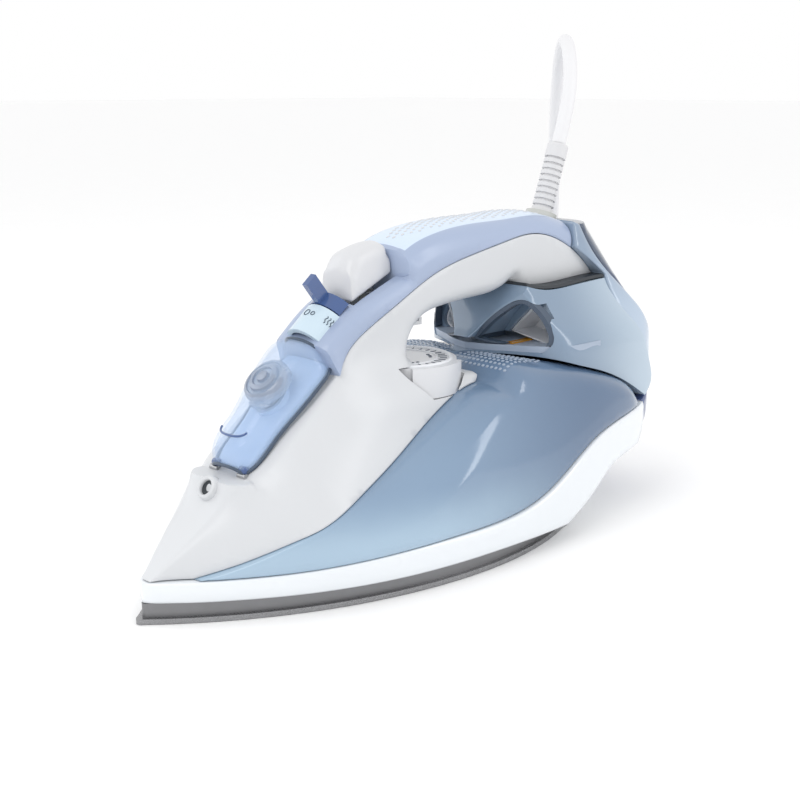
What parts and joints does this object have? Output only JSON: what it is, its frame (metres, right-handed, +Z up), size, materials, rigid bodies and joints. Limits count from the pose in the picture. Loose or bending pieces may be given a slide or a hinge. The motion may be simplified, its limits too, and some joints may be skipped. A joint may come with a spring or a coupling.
{
  "type": "steam iron",
  "caption": "Steam iron with pointed soleplate, see-through water tank, closed handle, clear filler door, steam selector, spray button, heat dial and cord guard with coiled lead.",
  "frame": {"origin": "under the middle of the iron's length, on its centre line, at the ironing surface of the soleplate", "axes": "+Z up from the ironing surface, +Y towards the heel where the lead leaves, -Y towards the nose, +X to the iron's left"},
  "size_m": [0.2357, 0.3526, 0.2313],
  "materials": {
    "sole_steel": "satin",
    "casting_metal": "matt",
    "heater_steel": "satin",
    "skirt_white": "gloss",
    "tank_smoke_blue": "translucent gloss",
    "housing_grey": "gloss",
    "handle_blue": "gloss",
    "strip_ice_blue": "gloss",
    "selector_blue": "translucent gloss",
    "button_grey": "satin",
    "dial_white": "satin",
    "works_plastic": "matt",
    "works_metal": "satin",
    "clamp_brass": "satin",
    "nozzle_grey": "satin",
    "hose_clear": "satin",
    "door_clear_blue": "clear gloss",
    "stopper_blue": "gloss",
    "bay_blue": "satin",
    "pillar_pale_blue": "translucent gloss",
    "lining_white": "satin",
    "rim_slate": "satin",
    "platform_blue": "satin",
    "lens_amber": "clear gloss",
    "board_green": "matt",
    "gasket_black": "satin",
    "heel_blue": "gloss",
    "guard_grey": "satin",
    "cord_grey": "satin",
    "plug_grey": "satin",
    "pin_brass": "polished"
  },
  "bodies": {
    "iron_body": {"soleplate": "sole_steel", "sole_casting": "casting_metal", "steam_chamber_cover": "casting_metal", "heating_element": "heater_steel", "skirt": "skirt_white", "water_tank": "tank_smoke_blue", "main_housing": "housing_grey", "handle_cover": "handle_blue", "heel_band": "handle_blue", "label_strip": "strip_ice_blue", "spray_pump_body": "works_plastic", "boost_pump_body": "works_plastic", "terminal_block": "works_plastic", "guard_socket": "works_plastic", "steam_valve_seat": "works_plastic", "thermostat": "works_metal", "selector_pin": "works_metal", "spray_spring": "works_metal", "boost_spring": "works_metal", "cover_screws": "works_metal", "door_pins": "works_metal", "thermal_fuse": "works_metal", "cord_clamp": "clamp_brass", "spray_nozzle": "nozzle_grey", "nozzle_hose": "hose_clear", "filler_bay": "bay_blue", "filler_funnel": "bay_blue", "rear_pillar": "pillar_pale_blue", "arch_lining": "lining_white", "left_arch_rim": "rim_slate", "right_arch_rim": "rim_slate", "arch_web": "rim_slate", "arch_platform": "platform_blue", "indicator_lens": "lens_amber", "indicator_board": "board_green", "pillar_gasket": "gasket_black", "heel_back": "heel_blue", "power_cord": "cord_grey", "cord_tail": "cord_grey", "cord_coil": "cord_grey", "inner_lead": "cord_grey", "plug_body": "plug_grey", "plug_pins": "pin_brass"},
    "dial": {"dial": "dial_white", "dial_spindle": "works_plastic"},
    "selector": {"steam_selector": "selector_blue"},
    "valve_rod": {"steam_valve_rod": "works_metal"},
    "button": {"spray_button": "button_grey", "spray_piston": "works_plastic"},
    "trigger": {"boost_trigger": "housing_grey", "boost_piston": "works_plastic"},
    "door": {"filler_door": "door_clear_blue", "filler_plug": "stopper_blue"},
    "guard": {"cord_guard": "guard_grey"}
  },
  "joints": [
    {"name": "dial_turn", "type": "hinge", "parent": "iron_body", "child": "dial", "pos_m": [0, -0.0075, 0.083], "axis": [0, 0, 1], "range_deg": [-75, 0]},
    {"name": "selector_turn", "type": "hinge", "parent": "iron_body", "child": "selector", "pos_m": [0, -0.06095, 0.09667], "axis": [0, 0.7771, 0.6293], "range_deg": [-25, 25]},
    {"name": "steam_rod_lift", "type": "slide", "parent": "iron_body", "child": "valve_rod", "axis": [0, 0, 1], "range_m": [-0.001, 0.001]},
    {"name": "spray_press", "type": "slide", "parent": "iron_body", "child": "button", "axis": [0, 0, -1], "range_m": [0, 0.0035], "stiffness_N_per_m": 900, "springref_m": -0.003, "deforming": ["spray_spring"]},
    {"name": "boost_press", "type": "slide", "parent": "iron_body", "child": "trigger", "axis": [0, 0, 1], "range_m": [0, 0.0025], "stiffness_N_per_m": 1200, "springref_m": -0.003, "deforming": ["boost_spring"]},
    {"name": "door_swing", "type": "hinge", "parent": "iron_body", "child": "door", "pos_m": [0, -0.1055, 0.0525], "axis": [1, 0, 0], "range_deg": [0, 50]},
    {"name": "cord_swivel", "type": "hinge", "parent": "iron_body", "child": "guard", "pos_m": [0, 0.0915, 0.143], "axis": [0, 0.342, 0.9397], "range_deg": [-60, 60]}
  ],
  "couplings": [
    {"joint": "selector_turn", "follows": "steam_rod_lift", "rad_per_m": 436}
  ]
}
